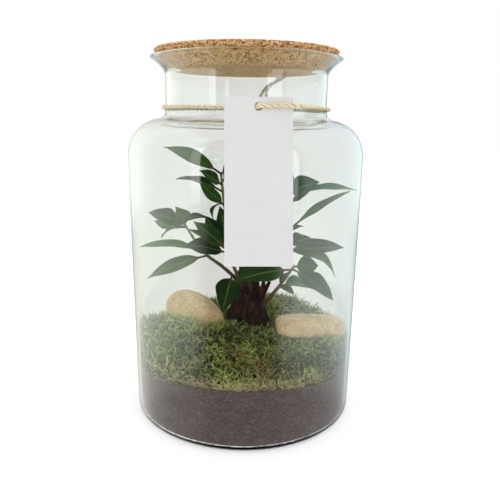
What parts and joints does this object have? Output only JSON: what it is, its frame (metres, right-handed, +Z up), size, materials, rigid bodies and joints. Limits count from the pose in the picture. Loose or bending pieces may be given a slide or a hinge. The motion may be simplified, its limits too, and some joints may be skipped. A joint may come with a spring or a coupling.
{
  "type": "glass plant terrarium",
  "caption": "Wide corked glass jar planted with a small fig, moss, pebbles and soil, with a blank card tag on a twine round its neck.",
  "frame": {"origin": "middle of the jar's flat underside, on the surface that it stands on", "axes": "+Z up along the jar's axis, -Y towards the front where the tag hangs, +X to the right as seen from the front"},
  "size_m": [0.191, 0.2083, 0.2982],
  "materials": {
    "clear_glass": "clear, glossy",
    "cork": "pressed cork granules, matt",
    "jute_twine": "twisted jute, hairy",
    "card": "smooth, matt",
    "potting_soil": "crumbly, matt",
    "moss": "feathery, matt",
    "pebble_stone": "water-worn, matt",
    "bark": "rough, flaking",
    "fig_leaf": "waxy, satin"
  },
  "bodies": {
    "root": {"glass_jar": "clear_glass", "cork_lid": "cork", "neck_twine": "jute_twine", "twine_tail_long": "jute_twine", "twine_tail_short": "jute_twine", "card_tag": "card", "potting_soil": "potting_soil", "moss_back": "moss", "moss_left": "moss", "moss_front": "moss", "moss_right": "moss", "pebble_left": "pebble_stone", "pebble_right": "pebble_stone", "fig_trunk": "bark", "shoot_left_top": "fig_leaf", "shoot_left_middle": "fig_leaf", "shoot_left_low": "fig_leaf", "shoot_right_low": "fig_leaf", "shoot_right_middle": "fig_leaf", "shoot_crown": "fig_leaf"}
  },
  "joints": []
}
